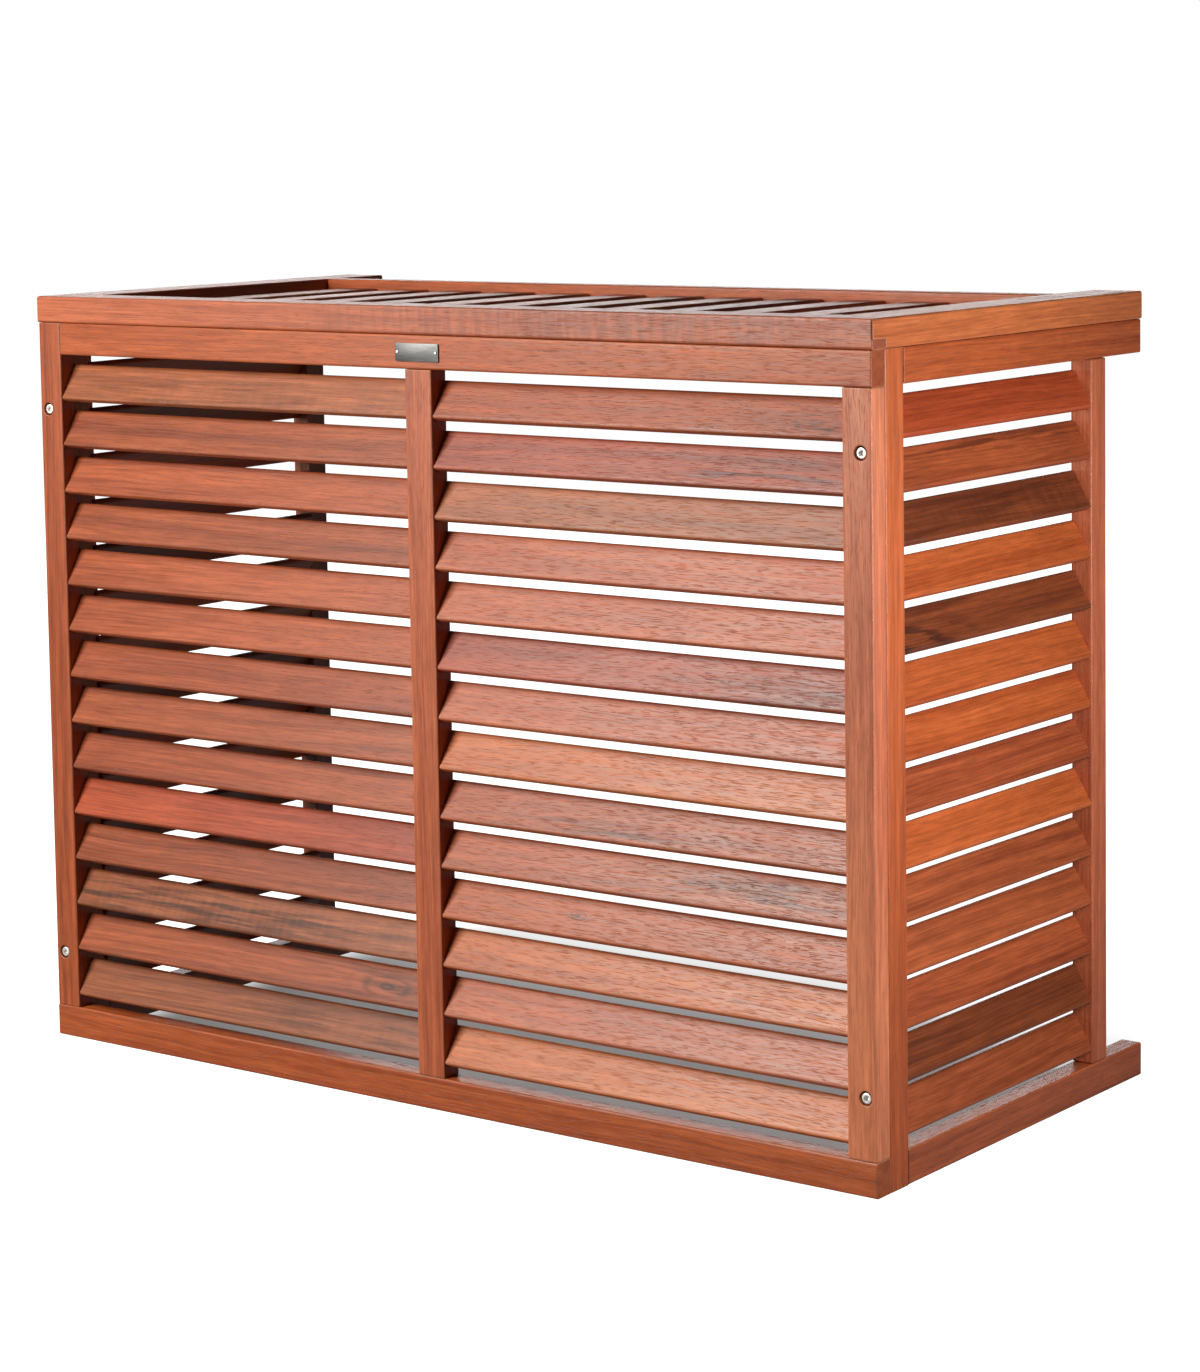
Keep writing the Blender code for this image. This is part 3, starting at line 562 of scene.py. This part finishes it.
def smooth_piece(name, bm, finish, body):
    bmesh.ops.recalc_face_normals(bm, faces=bm.faces)
    piece = scene_object(name, bm, finish)
    piece.data.shade_smooth()
    piece.data.set_sharp_from_angle(angle=SHARP_CORNER)
    return place_piece(piece, body)


def turned_rings(bm, sides, steps):
    """Draws a ring of edges out through steps of radius, height and corners, which are 0 if round."""
    first = steps[0]
    bmesh.ops.create_circle(bm, cap_ends=False, segments=sides, radius=first[0])
    bmesh.ops.translate(bm, vec=(0, 0, first[1]), verts=bm.verts)
    edges = bm.edges[:]
    bmesh.ops.contextual_create(bm, geom=edges)
    for radius, height, corners in steps[1:]:
        drawn = bmesh.ops.extrude_edge_only(bm, edges=edges)["geom"]
        edges = [part for part in drawn if isinstance(part, bmesh.types.BMEdge)]
        for vert in (part for part in drawn if isinstance(part, bmesh.types.BMVert)):
            direction = Vector((vert.co.x, vert.co.y)).normalized()
            reach = radius
            if corners:
                angle = Vector((1, 0)).angle_signed(direction)
                part = 2 * pi / corners
                reach = radius / cos((angle % part) - part / 2)
            vert.co = (direction.x * reach, direction.y * reach, height)
    bmesh.ops.contextual_create(bm, geom=edges)


def driven_in(bm, low, high):
    """Turns a piece made along z, with its head's top at zero, to face the front at a box's place."""
    bmesh.ops.transform(
        bm, verts=bm.verts,
        matrix=Matrix.Translation(((low.x + high.x) / 2, low.y, (low.z + high.z) / 2))
        @ Matrix.Rotation(pi / 2, 4, "X"),
    )


steel = bare_metal("bolt_steel", (252, 251, 248), 0.5, FINE_RUBBING)
brass = bare_metal("insert_brass", (196, 158, 92), 0.35, FINE_RUBBING)
for side in ("left", "right"):
    for level in ("lower", "upper"):
        cad_bolt = f"bolt_{side}_{level}"
        low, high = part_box(cad_bolt)
        length = high.y - low.y
        bm = bmesh.new()
        turned_rings(bm, BOLT_SIDES, (
            (SHANK_RADIUS - SHANK_CHAMFER[0], -length, 0), (SHANK_RADIUS, -length + SHANK_CHAMFER[1], 0),
            (SHANK_RADIUS, -HEAD_HEIGHT, 0), (HEAD_RADIUS, -HEAD_HEIGHT, 0),
            *((radius, height, 0) for radius, height in HEAD_ROUNDING),
            (SOCKET_MOUTH, 0.0, SOCKET_SIDES), (SOCKET_RADIUS, -SOCKET_LEAD, SOCKET_SIDES),
            (SOCKET_RADIUS, -SOCKET_DEPTH, SOCKET_SIDES), (DRILL_POINT[0], -DRILL_POINT[1], 0),
        ))
        driven_in(bm, low, high)
        bolt = smooth_piece(f"{cad_bolt}_turned", bm, steel, "screen")
        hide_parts(cad_bolt)
        finish_node(f"insert_{side}_{level}", brass)

# The lid: four rails of 27 mm stock, mitred and lapped at the front, and twelve flat slats let
# into the front rail and the rear rail, a little below the rails' top faces.
LID_EASE = 0.002
LID_REAR_RAIL_WIDTH = 0.022
LID_SIDE_RAIL_WIDTH = 0.053
LID_SLAT_DROP = 0.009
LID_SLAT_TONES = (
    "brown", "orange", "brown", "grey", "orange", "brown",
    "grey", "brown", "plum", "brown", "orange", "brown",
)
FRONT_RAIL_FIGURE = ("mottled", (0.2, -0.24, 0.752), (0.5, 0.08, 0.08), 0.15, 0.0, 0.4)
finish_node("lid_rail_front", hardwood("pink", "x", FRONT_RAIL_FIGURE))
finish_node("lid_rail_left", hardwood("brown", "y"))
finish_node("lid_rail_right", hardwood("tan", "y"))
LID_LADDER = "lid_slats_and_rear_rail"
ladder_low, ladder_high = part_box(LID_LADDER)
rail_length = 2 * (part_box("lid_rail_right")[1].x - LID_SIDE_RAIL_WIDTH - JOINT_GAP)
rear_rail = planed(
    "lid_rail_rear", (rail_length, LID_REAR_RAIL_WIDTH, ladder_high.z - ladder_low.z),
    Matrix.Translation((
        0, ladder_high.y - LID_REAR_RAIL_WIDTH / 2, (ladder_low.z + ladder_high.z) / 2,
    )),
    LID_EASE, hardwood("orange", "x"), "lid",
)
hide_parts(LID_LADDER)
slat_start, slat_end = ladder_low.y, ladder_high.y - LID_REAR_RAIL_WIDTH + SLAT_HOUSED
inner_x = rail_length / 2 + JOINT_GAP
step = (2 * inner_x + SLAT_WIDTH) / (len(LID_SLAT_TONES) + 1)
first_x = step - inner_x - SLAT_WIDTH / 2
for number, tone in enumerate(LID_SLAT_TONES, 1):
    slat = planed(
        f"lid_slat_{number:02}", (SLAT_WIDTH, slat_end - slat_start, SLAT_THICKNESS),
        Matrix.Translation((
            first_x + (number - 1) * step, (slat_start + slat_end) / 2,
            ladder_high.z - LID_SLAT_DROP - SLAT_THICKNESS / 2,
        )),
        SLAT_ROUND, hardwood(tone, "y"), "lid",
    )
    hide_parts(LID_LADDER)

# The dowels: four turned pins of pale hardwood, glued upright into the side panels' top rails. The
# lid's side rails are bored to drop over them, and nothing else holds the lid.
for side in ("left", "right"):
    for end in ("front", "rear"):
        finish_node(f"dowel_{side}_{end}", hardwood("tan", "z"))

# The plate: a small bare sheet of brushed steel on the top rail over the mullion, held by two
# round-headed pins.
PLATE_CORNER = 0.0012
PLATE_RIM = 0.0003
PIN_SIDES = 24
PIN_RISE = 0.0007
PIN_RADIUS = 0.0008
PIN_POINT = (0.0004, 0.0006)
PIN_DOME_ANGLES = (0.4, 0.8, 1.15, 1.4)
LONG_RUBBING = (60, 1500, 1500)
plate_steel = bare_metal("plate_steel", (118, 118, 118), 0.42, LONG_RUBBING, 0.1)
low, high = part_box("name_plate")
size = high - low
bm = bmesh.new()
bmesh.ops.create_cube(bm, size=1)
bmesh.ops.scale(bm, vec=size, verts=bm.verts)
corners = [edge for edge in bm.edges if abs((edge.verts[0].co - edge.verts[1].co).y) > size.y / 2]
bmesh.ops.bevel(
    bm, geom=corners, offset=PLATE_CORNER, segments=6, profile=0.5, affect="EDGES", material=-1,
)
rim = [edge for edge in bm.edges if all(abs(vert.co.y + size.y / 2) < 1e-6 for vert in edge.verts)]
bmesh.ops.bevel(bm, geom=rim, offset=PLATE_RIM, segments=2, profile=0.5, affect="EDGES", material=-1)
bmesh.ops.translate(bm, vec=(low + high) / 2, verts=bm.verts)
plate = smooth_piece("plate", bm, plate_steel, "screen")
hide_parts("name_plate")
for side in ("left", "right"):
    low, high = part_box(f"plate_pin_{side}")
    length, radius = high.y - low.y, (high.x - low.x) / 2
    dome = [(radius * cos(a), -PIN_RISE + PIN_RISE * sin(a), 0) for a in PIN_DOME_ANGLES]
    bm = bmesh.new()
    turned_rings(bm, PIN_SIDES, [
        (PIN_POINT[0], -length, 0), (PIN_RADIUS, -length + PIN_POINT[1], 0),
        (PIN_RADIUS, -PIN_RISE, 0), (radius, -PIN_RISE, 0), *dome,
    ])
    driven_in(bm, low, high)
    pin = smooth_piece(f"plate_pin_{side}_turned", bm, steel, "screen")
    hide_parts(f"plate_pin_{side}")
